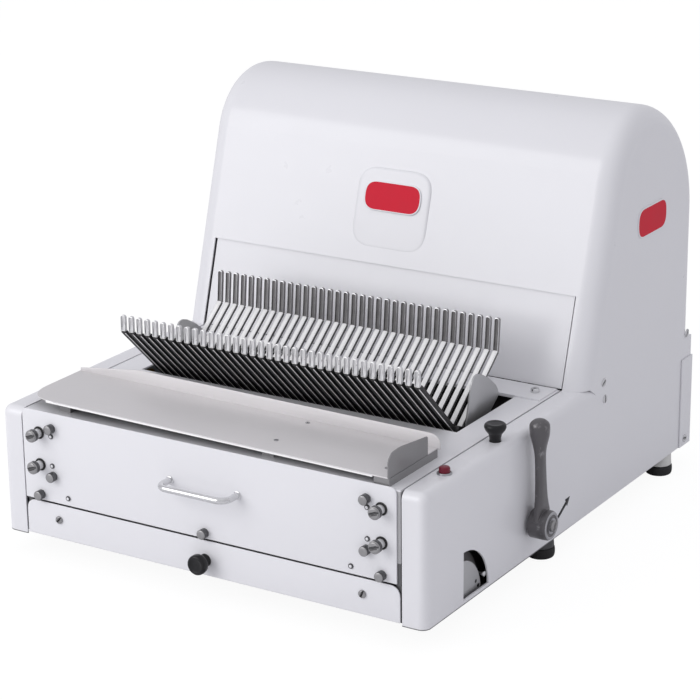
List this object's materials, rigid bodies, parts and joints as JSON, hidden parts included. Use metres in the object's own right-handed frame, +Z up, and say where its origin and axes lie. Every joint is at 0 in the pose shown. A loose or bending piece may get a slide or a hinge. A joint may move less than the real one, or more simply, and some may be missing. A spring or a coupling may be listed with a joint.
{
  "type": "countertop bread slicer with hand lever",
  "caption": "White countertop bread slicer: domed hood, V of two finger combs, steel bagging tray, crumb tray and a hand crank lever on the right side.",
  "frame": {"origin": "middle of the footprint on the table, seen from above, under the rubber feet", "axes": "+X to the operator's right, towards the lever; +Y away from the operator, from the front panel to the hood; +Z up"},
  "size_m": [0.588, 0.6808, 0.4768],
  "materials": {
    "painted_white": "satin",
    "painted_grey": "satin",
    "dull_stainless": "brushed",
    "stainless": "brushed",
    "bright_steel": "polished",
    "dark_coating": "matt",
    "cast_grey": "painted, semi-gloss",
    "black_plastic": "gloss",
    "red_plastic": "gloss",
    "red_enamel": "gloss",
    "black_rubber": "matt",
    "light_plastic": "matt",
    "bronze": "sintered",
    "steel": "machined"
  },
  "bodies": {
    "base": {"base_pan": "dark_coating", "rubber_feet": "black_rubber", "foot_spacers": "light_plastic", "left_side_frame": "painted_grey", "right_side_frame": "painted_grey", "shaft_bearings": "bronze", "deck_plate": "painted_white", "chute_plates": "dark_coating", "left_side_cover": "painted_white", "right_side_cover": "painted_white", "hood": "painted_white", "door_guides": "stainless", "throat_sill": "painted_white", "rear_cover": "painted_white", "power_gland": "black_plastic", "hood_screws": "bright_steel", "emblem_plate": "painted_white", "badge_plaques": "red_enamel", "front_panel": "painted_white", "front_handle": "bright_steel", "guide_studs": "bright_steel", "panel_nuts": "bright_steel", "panel_screws": "bright_steel", "bagging_tray": "stainless", "bagging_tray_supports": "dull_stainless", "bagging_tray_screws": "steel", "feed_chain": "steel", "frame_guides": "light_plastic", "drive_belt": "black_rubber", "motor": "dark_coating", "motor_cradle": "dark_coating", "button_bezel": "bright_steel", "quadrant_plate": "stainless"},
    "lever": {"crank_lever": "cast_grey", "lever_bolt": "bright_steel", "feed_shaft": "steel", "feed_sprocket": "steel"},
    "front_comb": {"front_comb_fingers": "bright_steel", "front_comb_tips": "bright_steel", "front_comb_bar": "dark_coating", "front_comb_backing": "dark_coating", "front_comb_shaft": "steel", "front_comb_sprocket": "steel"},
    "rear_comb": {"rear_comb_fingers": "bright_steel", "rear_comb_tips": "steel", "rear_comb_bar": "dark_coating", "rear_comb_shaft": "steel", "comb_end_plates": "stainless"},
    "door": {"loaf_door": "painted_white"},
    "crumb_drawer": {"crumb_tray": "stainless", "crumb_tray_front": "painted_white", "crumb_tray_knob": "black_plastic", "crumb_tray_screws": "bright_steel"},
    "front_blade_carrier": {"front_blade_frame": "steel", "front_blades": "steel", "front_drive_rod": "steel"},
    "rear_blade_carrier": {"rear_blade_frame": "steel", "rear_blades": "steel", "rear_drive_rod": "steel"},
    "drive_shaft": {"eccentric_shaft": "steel", "driven_pulley": "steel"},
    "motor_rotor": {"motor_pulley": "steel"},
    "start_control": {"start_knob": "black_plastic"},
    "stop_control": {"stop_button": "red_plastic"}
  },
  "joints": [
    {"name": "lever_swing", "type": "hinge", "parent": "base", "child": "lever", "pos_m": [-0.01435, -0.0824, 0.067], "axis": [-1, 0, 0], "range_deg": [0, 45]},
    {"name": "front_comb_swing", "type": "hinge", "parent": "base", "child": "front_comb", "pos_m": [-0.01435, -0.1094, 0.149], "axis": [-1, 0, 0], "range_deg": [0, 36]},
    {"name": "rear_comb_yield", "type": "hinge", "parent": "base", "child": "rear_comb", "pos_m": [-0.01435, -0.0834, 0.145], "axis": [-1, 0, 0], "range_deg": [0, 18], "stiffness_Nm_per_rad": 4, "springref_deg": -20.05},
    {"name": "door_lift", "type": "slide", "parent": "base", "child": "door", "axis": [0, 0.2874, 0.9578], "range_m": [0, 0.095]},
    {"name": "crumb_tray_slide", "type": "slide", "parent": "base", "child": "crumb_drawer", "axis": [0, -1, 0], "range_m": [0, 0.3]},
    {"name": "front_blade_stroke", "type": "slide", "parent": "base", "child": "front_blade_carrier", "axis": [0, 0.2874, 0.9578], "range_m": [-0.009, 0.009]},
    {"name": "rear_blade_stroke", "type": "slide", "parent": "base", "child": "rear_blade_carrier", "axis": [0, 0.2874, 0.9578], "range_m": [-0.009, 0.009]},
    {"name": "drive_shaft_turn", "type": "hinge", "parent": "base", "child": "drive_shaft", "pos_m": [-0.01435, 0.1196, 0.082], "axis": [1, 0, 0], "continuous": true},
    {"name": "motor_turn", "type": "hinge", "parent": "base", "child": "motor_rotor", "pos_m": [-0.01435, 0.2476, 0.112], "axis": [1, 0, 0], "continuous": true},
    {"name": "start_knob_press", "type": "slide", "parent": "base", "child": "start_control", "axis": [0, 0, -1], "range_m": [0, 0.004], "stiffness_N_per_m": 600, "springref_m": -0.004},
    {"name": "stop_button_press", "type": "slide", "parent": "base", "child": "stop_control", "axis": [0, 0, -1], "range_m": [0, 0.003], "stiffness_N_per_m": 500, "springref_m": -0.003}
  ],
  "couplings": [
    {"joint": "front_comb_swing", "follows": "lever_swing", "ratio": 0.8},
    {"joint": "rear_blade_stroke", "follows": "front_blade_stroke", "ratio": -1},
    {"joint": "motor_turn", "follows": "drive_shaft_turn", "ratio": 2.2}
  ]
}
